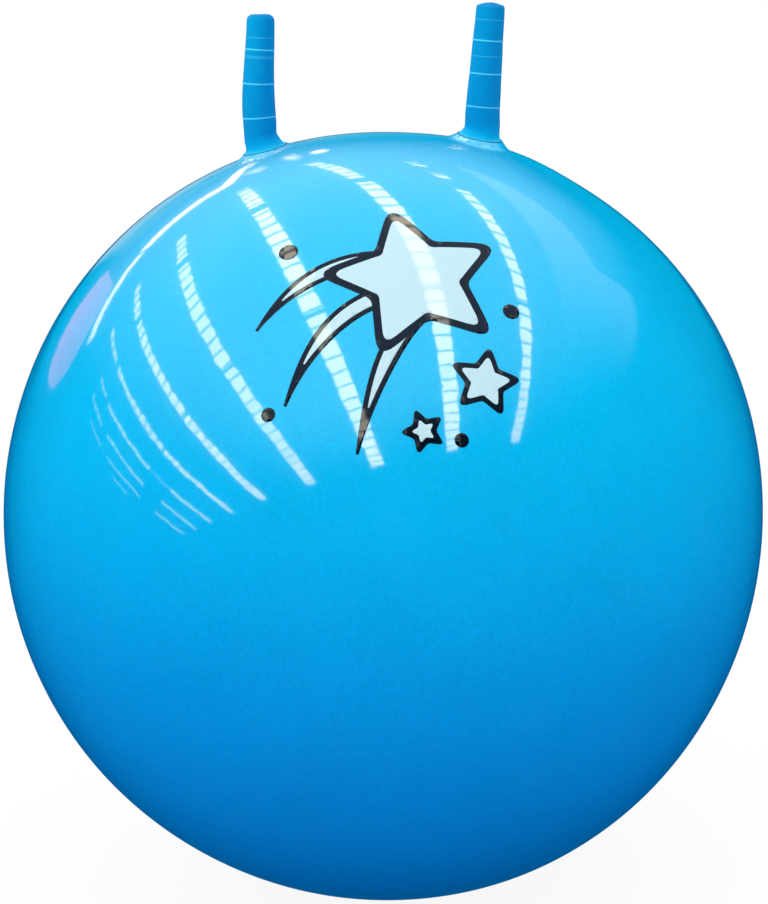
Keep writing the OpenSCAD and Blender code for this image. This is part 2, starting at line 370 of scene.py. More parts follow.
def makeHorn(name):
    horn = horns[name]
    step = 0.1  # fine enough for the sums along the middle line
    fine = np.arange(0, horn["length"] + 2 * step, step)
    x = throughKnots(horn["line"], fine)
    slope = np.gradient(x, fine)
    z = horn["foot"] + np.concatenate([[0], np.cumsum(np.sqrt(1 - slope[:-1] ** 2) * step)])
    foot = 1 - smoothStep(0, hornDetail["leanEnd"], fine)
    lean = (1 - foot) * np.arcsin(slope) + foot * math.radians(horn["lean"]) * horn["side"]
    nod = math.tan(math.radians(horn["nod"])) * (1 - smoothStep(0, hornDetail["nodEnd"], fine))

    stations = hornStations(horn)
    rows = [(s, horn["seam"] - inside) for s, inside in hornDetail["foot"]]
    rows += list(zip(stations, hornRadius(horn, stations)))
    edge, edgeRadius = rows[-1]
    tipRound = horn["tipRound"]
    flat = edgeRadius - tipRound
    for turn in np.radians(np.arange(hornDetail["tipStep"], 90.1, hornDetail["tipStep"])):
        rows.append((edge + tipRound * math.sin(turn), flat + tipRound * math.cos(turn)))
    for share in hornDetail["domeShares"]:
        rows.append((edge + tipRound + horn["tipDome"] * (1 - share * share), flat * share))

    places, radii = np.array(rows).T
    a, tip, middle, height = (np.interp(places, fine, line)[:, None] for line in (lean, nod, x, z))
    beyond = (np.minimum(0, places) + np.maximum(0, places - fine[-1]))[:, None]
    sides = hornDetail["sides"]
    turn = 2 * math.pi * np.arange(sides) / sides
    out = radii[:, None] * np.cos(turn)
    y = radii[:, None] * np.sin(turn)
    points = np.stack([middle + beyond * np.sin(a) + out * np.cos(a), y,
                       height + beyond * np.cos(a) - out * np.sin(a) + y * tip], 2)
    last = (len(rows) - 1) * sides
    faces = []
    for k in range(0, last, sides):
        for i in range(sides):
            j = (i + 1) % sides
            faces.append((k + i, k + j, k + sides + j, k + sides + i))
    faces.append(tuple(range(last, last + sides)))
    faces.append(tuple(reversed(range(sides))))
    piece = addPiece(name + "Horn", (points.reshape(-1, 3) * mm).tolist(), faces)

    # the rings' crests get a painted highlight, and the scored lines are painted paler too
    pale = ringBeads(horn, places)
    for score in horn["scores"]:
        line = np.exp(-((places - score) / hornDetail["scoreWidth"]) ** 2)
        pale = np.maximum(pale, hornDetail["scorePale"] * line)
    for label, values in (("upHorn", places * mm), ("paleLines", pale)):
        attribute = piece.data.attributes.new(label, "FLOAT", "POINT")
        attribute.data.foreach_set("value", np.repeat(values, sides))
    print(name, "horn:", len(faces), "faces")
    return piece


# The print on the front: a falling star with ribbons behind it, small stars and dots.
printDesign = {
    "middle": (1.5, 42),  # degrees to the right of the front and above the level
    "cell": 4,  # the ink is cut into cells this wide, so that it follows the skin
    # right of the middle and above it, reach, waist, turn in degrees, half the outline, and corner
    "stars": [((22, 30), 66, 0.5, 12, 5.5 / 2, 9), ((66, -50), 24, 0.5, -10, 5.5 / 3, 4),
              ((22, -86), 13, 0.5, 20, 5.5 / 3, 4)],
    "paleCorner": 0.6,  # as a share of the black outline's corner
    "dots": [((88, 6), 6), ((-66, 62), 7), ((48, -92), 5), ((-84, -66), 5)],
    # start, bend and end of each ribbon
    "ribbons": [((0, 46), (-52, 48), (-90, -2)), ((4, 16), (-44, 4), (-72, -62)),
                ((22, 0), (-6, -30), (-24, -100))],
    "ribbonWidth": [(0, 17), (0.5, 14), (1, 2)], "ribbonEdge": 3.6, "paleSpan": (0.05, 0.76),
    # each colour is printed over the one before: how high it lies on the skin
    "lifts": {"ribbonBlack": 0.1, "ribbonPale": 0.14, "starBlack": 0.18, "starPale": 0.22},
    "under": 0.05,  # how far the ink reaches into the skin
}


def roundCorners(points, radius, steps=6):
    out = []
    count = len(points)
    for i in range(count):
        a, b, c = (np.array(points[(i + k) % count], float) for k in (-1, 0, 1))
        toA, toC = np.linalg.norm(a - b), np.linalg.norm(c - b)
        u, v = (a - b) / toA, (c - b) / toC
        half = math.acos(np.clip(u @ v, -1, 1)) / 2
        back = min(radius / math.tan(half), toA * 0.45, toC * 0.45)
        for t in np.arange(steps + 1) / steps:
            out.append((1 - t) ** 2 * (b + u * back) + 2 * t * (1 - t) * b + t * t * (b + v * back))
    return out


def growShape(points, width):
    # moves every side of a closed shape outward, or inward below zero
    p = np.array(points, float)
    following = np.roll(p, -1, axis=0)
    area = np.sum(p[:, 0] * following[:, 1] - following[:, 0] * p[:, 1]) / 2
    side = following - p
    side /= np.linalg.norm(side, axis=1)[:, None]
    normal = np.stack([side[:, 1], -side[:, 0]], 1) * (1 if area > 0 else -1)
    before = np.roll(normal, 1, axis=0)
    both = normal + before
    both /= np.maximum(1e-6, (1 + np.sum(normal * before, axis=1)))[:, None]
    return list(p + both * width)


def starShape(middle, outer, waist, turn):
    points = []
    for i in range(10):
        a = math.radians(90 + turn + 36 * i)
        r = outer if i % 2 == 0 else outer * waist
        points.append((middle[0] + r * math.cos(a), middle[1] + r * math.sin(a)))
    return points


def ribbonShape(ribbon, widths, first=0.0, last=1.0, steps=26):
    # a tapered ribbon along a bent line, nowhere narrower than 0.4 mm
    a, b, c = (np.array(p, float) for p in ribbon)
    left, right = [], []
    for t in np.linspace(first, last, steps):
        p = (1 - t) ** 2 * a + 2 * t * (1 - t) * b + t * t * c
        along = 2 * (1 - t) * (b - a) + 2 * t * (c - b)
        along /= np.linalg.norm(along)
        across = np.array([-along[1], along[0]])
        w = max(0.4, float(throughKnots(widths, np.array([t]))[0])) / 2
        left.append(p + across * w)
        right.append(p - across * w)
    return left + right[::-1]


def dotShape(middle, radius, steps=40):
    return [(middle[0] + radius * math.cos(2 * math.pi * i / steps),
             middle[1] + radius * math.sin(2 * math.pi * i / steps)) for i in range(steps)]


def onBall(flat):
    # lays flat places round the print's middle on the ball, as directions from the ball's middle
    side, up = (math.radians(v) for v in printDesign["middle"])
    out = np.array([math.sin(side) * math.cos(up), -math.cos(side) * math.cos(up), math.sin(up)])
    right = np.array([math.cos(side), math.sin(side), 0])
    top = np.cross(out, right)
    far = np.linalg.norm(flat, axis=1)
    angle = far / ball["radius"]
    unit = flat / np.maximum(far, 1e-9)[:, None]
    tangent = unit[:, :1] * right + unit[:, 1:] * top
    return np.cos(angle)[:, None] * out + np.sin(angle)[:, None] * tangent


def makeInk(name, shapes, lift):
    mesh = bmesh.new()
    for shape in shapes:
        mesh.faces.new([mesh.verts.new((p[0], p[1], 0)) for p in shape])
    mesh.normal_update()
    bmesh.ops.triangulate(mesh, faces=mesh.faces, ngon_method="EAR_CLIP")
    points = np.array([v.co for v in mesh.verts])
    for axis, across in enumerate(((1, 0, 0), (0, 1, 0))):
        for at in np.arange(points[:, axis].min(), points[:, axis].max(), printDesign["cell"]):
            bmesh.ops.bisect_plane(mesh, geom=mesh.verts[:] + mesh.edges[:] + mesh.faces[:],
                                   plane_co=[at * v for v in across], plane_no=across, dist=1e-5)
    bmesh.ops.remove_doubles(mesh, verts=mesh.verts, dist=1e-4)
    bmesh.ops.triangulate(mesh, faces=mesh.faces)
    mesh.normal_update()
    bmesh.ops.reverse_faces(mesh, faces=[f for f in mesh.faces if f.normal.z < 0])
    mesh.verts.index_update()
    ways = onBall(np.array([(v.co.x, v.co.y) for v in mesh.verts]))
    outside = skinPoints(ways) + ways * lift
    for v, p in zip(mesh.verts, outside):
        v.co = p * mm
    piece = addEdited(name, mesh)
    thick = piece.modifiers.new("thickness", "SOLIDIFY")
    thick.thickness = (lift + printDesign["under"]) * mm
    thick.offset = -1
    print(name, len(piece.data.polygons), "faces")
    return piece


def makePrint():
    look = printDesign
    inner = [(t, w - 2 * look["ribbonEdge"]) for t, w in look["ribbonWidth"]]
    shapes = {"ribbonBlack": [ribbonShape(ribbon, look["ribbonWidth"]) for ribbon in look["ribbons"]],
              "ribbonPale": [ribbonShape(ribbon, inner, *look["paleSpan"]) for ribbon in look["ribbons"]],
              "starBlack": [], "starPale": []}
    for *star, grow, corner in look["stars"]:
        shape = starShape(*star)
        shapes["starBlack"].append(roundCorners(growShape(shape, grow), corner))
        shapes["starPale"].append(roundCorners(growShape(shape, -grow), corner * look["paleCorner"]))
    shapes["starBlack"] += [dotShape(*dot) for dot in look["dots"]]
    return [makeInk(name, shapes[name], lift) for name, lift in look["lifts"].items()]


def newMaterial(name, finish):
    material = bpy.data.materials.new(name)
    material.use_nodes = True
    tree = material.node_tree
    tree.nodes.clear()
    shader = addNode(tree, "BsdfPrincipled", finish)
    addNode(tree, "OutputMaterial", {"Surface": shader})
    print("material:", name)
    return material, tree, shader


def addPattern(tree, place, width, detail, limits, values, roughness=0.5):
    # noise of this width: over its limits the result runs from the first value to the second
    pattern = addNode(tree, "TexNoise", {"Vector": place, "Scale": 1 / (width * mm), "Detail": detail,
                                         "Roughness": roughness})
    return addNode(tree, "MapRange", {"Value": pattern, "From Min": limits[0], "From Max": limits[1],
                                      "To Min": values[0], "To Max": values[1]})


# Soft PVC, rotationally moulded and blown up tight: the mould's polish gives it a wet gloss. Its colour is
# painted clearer and lighter blue on top and deeper, darker blue low down: painted shade towards the bottom.
blownVinylLook = {
    # colours by how high over the floor, as a share of 600 mm: painted shade, darker and deeper blue low
    # down
    "heightsWithPaintedLight": [(0.0, "#006cbd"), (0.17, "#0076d0"), (0.42, "#0095e4"), (0.58, "#00adec"), (0.75, "#00bbf0"),
                (1.0, "#04bff4")],
    # patterns: width in millimetres, detail, limits of the noise, and the values there
    "cloud": (70, 3, (0.3, 0.7), (0.97, 1.03)), "speck": (2.4, 1, (0.3, 0.7), (0.94, 1.06)),
    "smudge": (26, 5, (0.42, 0.72), (0.13, 0.2), 0.6), "grainPatch": (60, 1, (0.45, 0.6), (0, 1)),
    "dentWidth": 18, "dentDepth": 0.07, "grainWidth": 5, "grainDepth": 0.008,
    "finish": {"IOR": 1.5, "Specular IOR Level": 0.08, "Coat Weight": 1.0, "Coat Roughness": 0.035,
               "Coat IOR": 1.54},
}


def makeBlownVinyl():
    look = blownVinylLook
    material, tree, shader = newMaterial("blownGlossPvc", look["finish"])
    place = addNode(tree, "TexCoord").outputs["Object"]
    height = addNode(tree, "SeparateXYZ", [place]).outputs["Z"]
    height = addNode(tree, "MapRange", {"Value": height, "From Max": 0.6})
    # the colour by height is painted shade: darker low down, lighter on top
    colour = setRamp(addNode(tree, "ValToRGB", [height]),
                     [(at, hexToLinear(code)) for at, code in look["heightsWithPaintedLight"]], "B_SPLINE")
    cloud = addPattern(tree, place, *look["cloud"])
    speck = addPattern(tree, place, *look["speck"])
    shade = addNode(tree, "Math", [cloud, speck], operation="MULTIPLY")
    colour = addNode(tree, "VectorMath", {0: colour, "Scale": shade}, operation="SCALE")
    smudge = addPattern(tree, place, *look["smudge"])

    dents, grain = (addNode(tree, "TexNoise", {"Vector": place, "Scale": 1 / (width * mm)})
                    for width in (look["dentWidth"], look["grainWidth"]))
    patch = addPattern(tree, place, *look["grainPatch"])
    neckWay = addNode(tree, "Attribute", attribute_name="neckWay").outputs["Vector"]
    neckPull = addNode(tree, "Attribute", attribute_name="neckPull").outputs["Fac"]
    folds = addNode(tree, "TexNoise", {"Vector": neckWay, "Scale": neckFolds["count"], "Detail": 3.0})
    folds = addNode(tree, "Math", [folds, neckPull], operation="MULTIPLY")
    under = {}
    for pattern, depth, strength in ((dents, look["dentDepth"], 1.0), (grain, look["grainDepth"], patch),
                                     (folds, neckFolds["depth"], 1.0)):
        bump = addNode(tree, "Bump",
                       {"Height": pattern, "Distance": depth * mm, "Strength": strength, **under})
        under = {"Normal": bump}
    setInputs(tree, shader, {"Base Color": colour, "Roughness": smudge, "Normal": bump,
                             "Coat Normal": bump})
    return material


# Thicker soft PVC straight from the mould: satin, with the fine rings that the mould's turning left.
hornVinylLook = {
    # colours by how far up the horn, in millimetres: a painted shadow on the foot's edge at the seam, a
    # painted highlight just above it, then lighter low on the flare and darker up to 13 mm
    "heightsWithPaintedLight": [(0.0, "#0a7ca6"), (0.25, "#3cc0ec"), (1.0, "#10b2e8"), (4.5, "#00a0e0"), (8.5, "#0092d4"),
                (13, "#0086c8"), (100, "#0086c8")],
    # the paler colour painted along the rings and scored lines: a painted highlight
    "paintedLineHighlight": "#50c6f2", "lineWidth": 0.7, "lineDepth": 0.02, "cloudWidth": 9,
    # limits of both patterns' sum, and the shade there
    "limits": (0.7, 1.3), "shade": (0.94, 1.06),
    "finish": {"Roughness": 0.3, "Specular IOR Level": 0.03, "IOR": 1.5},
}


def makeHornVinyl():
    look = hornVinylLook
    material, tree, shader = newMaterial("satinMouldedPvc", look["finish"])
    upHorn = addNode(tree, "Attribute", attribute_name="upHorn").outputs["Fac"]
    place = addNode(tree, "TexCoord").outputs["Object"]
    whole = look["heightsWithPaintedLight"][-1][0]
    share = addNode(tree, "MapRange", {"Value": upHorn, "From Max": whole * mm})
    # the ramp paints a shadow along the seam and a highlight just above it
    colour = setRamp(addNode(tree, "ValToRGB", [share]),
                     [(at / whole, hexToLinear(code)) for at, code in look["heightsWithPaintedLight"]], "LINEAR")
    pale = addNode(tree, "Attribute", attribute_name="paleLines").outputs["Fac"]
    # the pale lines mix in the painted highlight colour
    colour = addNode(tree, "Mix", {"Factor": pale, 6: colour, 7: hexToLinear(look["paintedLineHighlight"])},
                     data_type="RGBA").outputs[2]
    lines = addNode(tree, "TexNoise",
                    {"W": upHorn, "Scale": 1 / (look["lineWidth"] * mm), "Detail": 3.0},
                    noise_dimensions="1D")
    cloud = addNode(tree, "TexNoise",
                    {"Vector": place, "Scale": 1 / (look["cloudWidth"] * mm), "Detail": 4.0})
    both = addNode(tree, "Math", [lines, cloud], operation="ADD")
    shade = addNode(tree, "MapRange",
                    {"Value": both, "From Min": look["limits"][0], "From Max": look["limits"][1],
                     "To Min": look["shade"][0], "To Max": look["shade"][1]})
    colour = addNode(tree, "VectorMath", {0: colour, "Scale": shade}, operation="SCALE")
    bump = addNode(tree, "Bump", {"Height": lines, "Distance": look["lineDepth"] * mm})
    setInputs(tree, shader, {"Base Color": colour, "Normal": bump})
    return material


# Screen-printed vinyl ink: it lies flat on the skin with a gloss of its own, which mirrors the lamps
# without the warm cast that they have on the blue skin.
inkLook = {
    "black": "#010608", "pale": "#bfe0ea",
    "grain": (1.2, 4, (0.3, 0.7), (0.97, 1.03)), "smudge": (8, 3, (0.35, 0.7), (0.04, 0.08)),
    "finish": {"IOR": 1.45, "Specular IOR Level": 0.53, "Specular Tint": (0.54, 0.7, 1.0, 1.0)},
}


def makeInkMaterial(name, code):
    material, tree, shader = newMaterial(name, inkLook["finish"])
    place = addNode(tree, "TexCoord").outputs["Object"]
    grain = addPattern(tree, place, *inkLook["grain"])
    colour = addNode(tree, "VectorMath", {0: hexToLinear(code)[:3], "Scale": grain}, operation="SCALE")
    setInputs(tree, shader, {"Base Color": colour, "Roughness": addPattern(tree, place, *inkLook["smudge"])})
    return material


# The valve: a matt seat of welded soft PVC, and a waxy stopper of moulded polyethylene. Fine grain from
# their moulds breaks up the gloss of both.
valveLook = {
    "valve_seat": {"name": "weldedSoftPvc", "colour": "#1aa6e6", "roughness": (0.25, 0.4)},
    "valve_plug": {"name": "mouldedPolyethylene", "colour": "#f0f0ea", "roughness": (0.35, 0.5)},
}
valveGrain = {"width": 3, "detail": 4, "depth": 0.02, "limits": (0.3, 0.7), "shade": (0.95, 1.04)}


def makeValveMaterial(look):
    material, tree, shader = newMaterial(look["name"], {"IOR": 1.5})
    place = addNode(tree, "TexCoord").outputs["Object"]
    width, detail, limits = valveGrain["width"], valveGrain["detail"], valveGrain["limits"]
    shade = addPattern(tree, place, width, detail, limits, valveGrain["shade"])
    colour = addNode(tree, "VectorMath", {0: hexToLinear(look["colour"])[:3], "Scale": shade},
                     operation="SCALE")
    rough = addPattern(tree, place, width, detail, limits, look["roughness"])
    grain = addNode(tree, "TexNoise", {"Vector": place, "Scale": 1 / (width * mm), "Detail": detail})
    bump = addNode(tree, "Bump", {"Height": grain, "Distance": valveGrain["depth"] * mm})
    setInputs(tree, shader, {"Base Color": colour, "Roughness": rough, "Normal": bump})
    return material


# Light for the ball: a soft bright dome, and for its gloss to mirror a hall whose roof has rows of long
# lamps. "along" runs with the rows, away from the camera, "across" crosses them and "up" points at the
# roof. A place on the roof, a and b, is measured in roof heights: across the rows and along them.
hallWays = {
    "along": (-0.227, 0.9383, 0.261), "up": (-0.062, -0.2814, 0.9576), "across": (0.9719, 0.2012, 0.1221),
    "bandNormal": (0.1564, -0.345, 0.9255), "bandRun": (-0.827, -0.558, -0.0683),
    "farWall": (-0.42, 0.906, 0), "nearWall": (0.9, -0.43, 0), "doorWay": (-0.6185, 0.7579, 0.2076),
    "doorSide": (-0.7748, -0.6323, 0), "doorTop": (0.1313, -0.1609, 0.9782),
}
leastUp = 0.03  # no way is taken as nearer to the roof's horizon than this


def multiplyRanges(tree, ranges, product=None, smooth=False):
    # each range gives where its value brings nothing, where it is whole, and what is left at the first
    for value, (none, whole, *least) in ranges:
        part = addNode(tree, "MapRange",
                       {"Value": value, "From Min": none, "From Max": whole, "To Min": sum(least)},
                       interpolation_type="SMOOTHSTEP" if smooth else "LINEAR")
        if product:
            part = addNode(tree, "Math", [product, part], operation="MULTIPLY")
        product = part
    return product


def addLight(tree, hall, colour, strength):
    light = addNode(tree, "VectorMath", {0: colour, "Scale": strength}, operation="SCALE")
    return addNode(tree, "VectorMath", [hall, light], operation="ADD")


lampRows = {
    "first": 0.863, "pitch": 0.528, "half": 0.043, "edge": 0.005, "farthest": 4.0,
    # far end of each row, its brightness, and how dark its middle stretch is
    "rows": [(2.4, 0.75, 0), (3.08, 0.93, 0), (2.75, 1, 0), (2.26, 0.78, 0), (2.33, 0.78, 0),
             (2.31, 0.65, 0), (1.91, 0.5, 0.8), (2.23, 0.38, 1), (2.2, 0.38, 1), (1.05, 0.25, 1)],
    "middleStretch": (-0.28, 0.15),
    # row, and where a lamp in it is out
    "missing": [(0, 1.38, 1.66), (0, 1.84, 2.12), (7, 1.26, 1.37), (8, 1.23, 1.37), (9, -1.1, 0.49)],
    "beams": [(1.43, 0.075), (0.093, 0.014)], "beamEdge": 0.006,
    # how long the lamps' panels are, near and far: shift along the row, limits and growth
    "panels": [(2.4, 0.3, 3.9, 0.042), (-0.5, 1.0, 9.0, 0.16)],
    # ranges, as multiplyRanges reads them
    "nearEnd": (-1.0, -0.96), "farEnd": (0, -0.03), "right": (1.13, 1.12), "left": (-4.17, -4.16),
    "panelLine": (0.04, 0.115, 0.17), "dimmer": (2.6, 0.1, 0.25), "worn": (0, 1, 0.8),
    "horizon": (0.03, 0.05),
    "lineGrowth": 0.042, "wearStep": 700.0, "brightness": 14, "colour": (1.0, 0.74, 0.4),
}


def makeLampRows(tree, toward, a, b):
    look = lampRows
    first, pitch, count = look["first"], look["pitch"], len(look["rows"])
    # one step of this ramp for each row, from the farthest left to the first on the right
    rightEnd = first + pitch / 2
    place = addNode(tree, "MapRange",
                    {"Value": a, "From Min": rightEnd - pitch * count, "From Max": rightEnd})
    steps = [(k / count, (end / look["farthest"], bright, dark, 1))
             for k, (end, bright, dark) in enumerate(reversed(look["rows"]))]
    ramp = setRamp(addNode(tree, "ValToRGB", [place]), steps, "CONSTANT")
    end, bright, dark = addNode(tree, "SeparateXYZ", [ramp]).outputs
    pastEnd = addNode(tree, "Math", [end, look["farthest"]], operation="MULTIPLY")
    pastEnd = addNode(tree, "Math", [b, pastEnd], operation="SUBTRACT")
    offRow = addNode(tree, "Math", [a, -first], operation="ADD")
    offRow = addNode(tree, "Math", [offRow, pitch / 2], operation="PINGPONG")

    # the panels grow toward both ends of a row, and each is worn a little differently
    panel = 0.0
    for shift, low, high, growth in look["panels"]:
        part = addNode(tree, "Math", [b, shift], operation="ADD")
        part = addNode(tree, "Clamp", {"Value": part, "Min": low, "Max": high})
        part = addNode(tree, "Math", [part, math.e], operation="LOGARITHM")
        panel = addNode(tree, "Math", [part, 1 / growth, panel], operation="MULTIPLY_ADD")
    offLine = addNode(tree, "Math", [panel, 0.5], operation="PINGPONG")
    far = addNode(tree, "Math", [b, 0.0], operation="MAXIMUM")
    offLine = addNode(tree, "Math", [far, -look["lineGrowth"], offLine], operation="MULTIPLY_ADD")
    number = addNode(tree, "Math", [panel], operation="FLOOR")
    number = addNode(tree, "Math", [end, look["wearStep"], number], operation="MULTIPLY_ADD")
    wear = addNode(tree, "TexWhiteNoise", {"W": number}, noise_dimensions="1D")

    half, edge = look["half"], look["edge"]
    ranges = [(offRow, (half + edge, half - edge)), (pastEnd, look["farEnd"]), (a, look["right"]),
              (a, look["left"]), (b, look["nearEnd"]), (offLine, look["panelLine"]),
              (b, look["dimmer"]), (wear, look["worn"]), (toward["up"], look["horizon"])]
    for middle, gap in look["beams"]:
        beam = addNode(tree, "Math", [b, middle], operation="SUBTRACT")
        beam = addNode(tree, "Math", [beam], operation="ABSOLUTE")
        ranges.append((beam, (gap - look["beamEdge"], gap + look["beamEdge"])))
    stretches = [(dark, *look["middleStretch"])]
    for k, low, high in look["missing"]:
        inRow = addNode(tree, "Math", [a, first - k * pitch, pitch / 2], operation="COMPARE")
        stretches.append((inRow, low, high))
    for share, low, high in stretches:
        out = addNode(tree, "Math", [b, (low + high) / 2, (high - low) / 2], operation="COMPARE")
        out = addNode(tree, "Math", [out, share], operation="MULTIPLY")
        ranges.append((out, (1, 0)))
    return multiplyRanges(tree, ranges, bright)


# A solid lamp over the far left wall, a little bent, with a joint beyond which it is narrower.
bandLamp = {
    "half": 0.021, "edge": 0.006, "bend": (0.125, 0.1325, -0.0295), "turnsAt": -0.28, "turn": 1.2,
    "joint": -0.031, "narrowing": 0.004, "nearEnd": (0.275, 0.25), "farEnd": (-0.41, -0.33),
    "jointGap": (0.005, 0.01), "inSight": (0.5, 0.51), "brightness": 0.3,
}


def makeBandLamp(tree, toward):
    look = bandLamp
    run = toward["bandRun"]
    square, slope, shift = look["bend"]
    curve = addNode(tree, "Math", [run, square, slope], operation="MULTIPLY_ADD")
    curve = addNode(tree, "Math", [curve, run, shift], operation="MULTIPLY_ADD")
    past = addNode(tree, "Math", [look["turnsAt"], run], operation="SUBTRACT")
    past = addNode(tree, "Math", [past, 0.0], operation="MAXIMUM")
    curve = addNode(tree, "Math", [past, look["turn"], curve], operation="MULTIPLY_ADD")
    off = addNode(tree, "Math", [curve, toward["bandNormal"]], operation="ADD")
    off = addNode(tree, "Math", [off], operation="ABSOLUTE")
    beyond = addNode(tree, "Math", [run, look["joint"]], operation="GREATER_THAN")
    off = addNode(tree, "Math", [beyond, look["narrowing"], off], operation="MULTIPLY_ADD")
    joint = addNode(tree, "Math", [run, look["joint"]], operation="SUBTRACT")
    joint = addNode(tree, "Math", [joint], operation="ABSOLUTE")
    return multiplyRanges(tree, [(off, (look["half"] + look["edge"], look["half"] - look["edge"])),
                                 (run, look["nearEnd"]), (run, look["farEnd"]), (joint, look["jointGap"]),
                                 (toward["doorWay"], look["inSight"])])


# Small lamps low behind the ball.
smallLamps = {
    # direction across and upward, half sizes and brightness
    "lamps": [(-0.215, 0.427, 0.02, 0.032, 1.5), (-0.144, 0.418, 0.014, 0.05, 2.0),
              (-0.094, 0.424, 0.015, 0.026, 5.0), (0.138, 0.406, 0.014, 0.008, 2.2)],
    "edge": (1.3, 0.3), "behind": 0.5,
}


def addSmallLamps(tree, toward, lamps):
    look = smallLamps
    behind = addNode(tree, "Math", [toward["behind"], look["behind"]], operation="GREATER_THAN")
    for across, upward, halfAcross, halfUpward, bright in look["lamps"]:
        sides = [addNode(tree, "MapRange",
                         {"Value": toward[name], "From Min": place, "From Max": place + half}, clamp=False)
                 for name, place, half in (("right", across, halfAcross), ("level", upward, halfUpward))]
        off = addNode(tree, "CombineXYZ", sides)
        off = addNode(tree, "VectorMath", [off], operation="LENGTH").outputs["Value"]
        spot = addNode(tree, "MapRange", {"Value": off, "From Min": look["edge"][0],
                                          "From Max": look["edge"][1], "To Max": bright})
        lamps = addNode(tree, "Math", [spot, behind, lamps], operation="MULTIPLY_ADD")
    return lamps


# The roof between the rows is darker low down, with a brighter far wall on the left. On the right is a
# pale sloping panel of it that steps down at one place.
hallRoof = {
    "brightness": 0.86, "farWall": 0.22, "farWallFocus": 8.0, "nearWall": 0.2,
    "height": (0.3, 0.8), "along": (-1.2, -0.5),
    "panel": 0.5, "panelSide": (1.2, 1.27), "panelRise": (0.57, 0.6), "panelAlong": (-0.5, 1.1),
    "panelTurn": (2.2, 1.2), "stepAt": 0.925, "step": 0.115,
}


def makeRoof(tree, toward, a, b):
    look = hallRoof
    far = addNode(tree, "Math", [toward["farWall"], 0.0], operation="MAXIMUM")
    far = addNode(tree, "Math", [far, look["farWallFocus"]], operation="POWER")
    height = addNode(tree, "Math", [far, look["farWall"], toward["level"]], operation="MULTIPLY_ADD")
    near = addNode(tree, "Math", [toward["nearWall"], 0.0], operation="MAXIMUM")
    height = addNode(tree, "Math", [near, -look["nearWall"], height], operation="MULTIPLY_ADD")
    roof = multiplyRanges(tree, [(height, look["height"]), (b, look["along"])], smooth=True)
    roof = addNode(tree, "Math", [roof, look["brightness"]], operation="MULTIPLY")
    turn = addNode(tree, "Math", [toward["right"], toward["behind"]], operation="ARCTAN2")
    rise = addNode(tree, "Math", [turn, look["stepAt"]], operation="GREATER_THAN")
    rise = addNode(tree, "Math", [rise, look["step"], toward["level"]], operation="MULTIPLY_ADD")
    panel = multiplyRanges(tree, [(a, look["panelSide"]), (rise, look["panelRise"]),
                                  (b, look["panelAlong"]), (turn, look["panelTurn"])], smooth=True)
    return addNode(tree, "Math", [panel, look["panel"], roof], operation="MULTIPLY_ADD")


# The walls low down and, brighter, behind the ball, and a pale one on the left with boards across it.
hallWalls = {
    "low": (0.0, 0.1, 0.28), "back": (0.0, 0.33, 0.55), "pale": (0.5, 0.36, 0.2),
    "backWay": (0.72, 0.96), "backFoot": (-0.3, 0.1), "backTop": (0.4, 0.15),
    "paleWay": (0.8, 0.84), "paleSide": (0.08, -0.22), "paleFoot": (-0.05, 0.0), "paleTop": (0.3, 0.08),
    "footSide": -0.26, "footSlope": 1.6, "boards": (3.0, 3.0, 26.0), "boardLines": (0.3, 0.6, 0.35),
}


def addWalls(tree, toward, way, hall):
    look = hallWalls
    back = multiplyRanges(tree, [(toward["behind"], look["backWay"]), (toward["level"], look["backFoot"]),
                                 (toward["level"], look["backTop"])], smooth=True)
    wall = addNode(tree, "Mix", {"Factor": back, 6: (*look["low"], 1), 7: (*look["back"], 1)},
                   data_type="RGBA").outputs[2]
    hall = addNode(tree, "VectorMath", [hall, wall], operation="ADD")
    foot = addNode(tree, "Math", [toward["right"], look["footSide"]], operation="SUBTRACT")
    foot = addNode(tree, "Math", [foot, look["footSlope"], toward["level"]], operation="MULTIPLY_ADD")
    boards = addNode(tree, "VectorMath", [way, look["boards"]], operation="MULTIPLY")
    boards = addNode(tree, "TexNoise", {"Vector": boards, "Scale": 1.0})
    pale = multiplyRanges(tree, [(toward["behind"], look["paleWay"]), (toward["right"], look["paleSide"]),
                                 (foot, look["paleFoot"]), (toward["level"], look["paleTop"]),
                                 (boards, look["boardLines"])])
    return addLight(tree, hall, look["pale"], pale)


# An open door behind on the left, with the evening in it.
openDoor = {"middle": (0.005, 0.015), "half": (0.182, 0.134), "least": 0.1, "edge": (1.02, 0.98),
            "cutCorner": (1.1, 1.03), "colour": (1.0, 0.2, 0.3)}


def addDoor(tree, toward, hall):
    look = openDoor
    ahead = addNode(tree, "Math", [toward["doorWay"], look["least"]], operation="MAXIMUM")
    door = []
    for name, middle, half in zip(("doorSide", "doorTop"), look["middle"], look["half"]):
        place = addNode(tree, "Math", [toward[name], ahead], operation="DIVIDE")
        place = addNode(tree, "Math", [place, -middle], operation="ADD")
        door.append(addNode(tree, "Math", [place, half], operation="DIVIDE"))
    corner = addNode(tree, "Math", [door[1], door[0]], operation="SUBTRACT")
    off = addNode(tree, "CombineXYZ", door)
    off = addNode(tree, "VectorMath", [off], operation="LENGTH").outputs["Value"]
    shown = multiplyRanges(tree, [(off, look["edge"]), (corner, look["cutCorner"])])
    return addLight(tree, hall, look["colour"], shown)


softDome = {"low": 0.95, "high": 0.46, "left": 0.18}  # it is brighter above and on the left


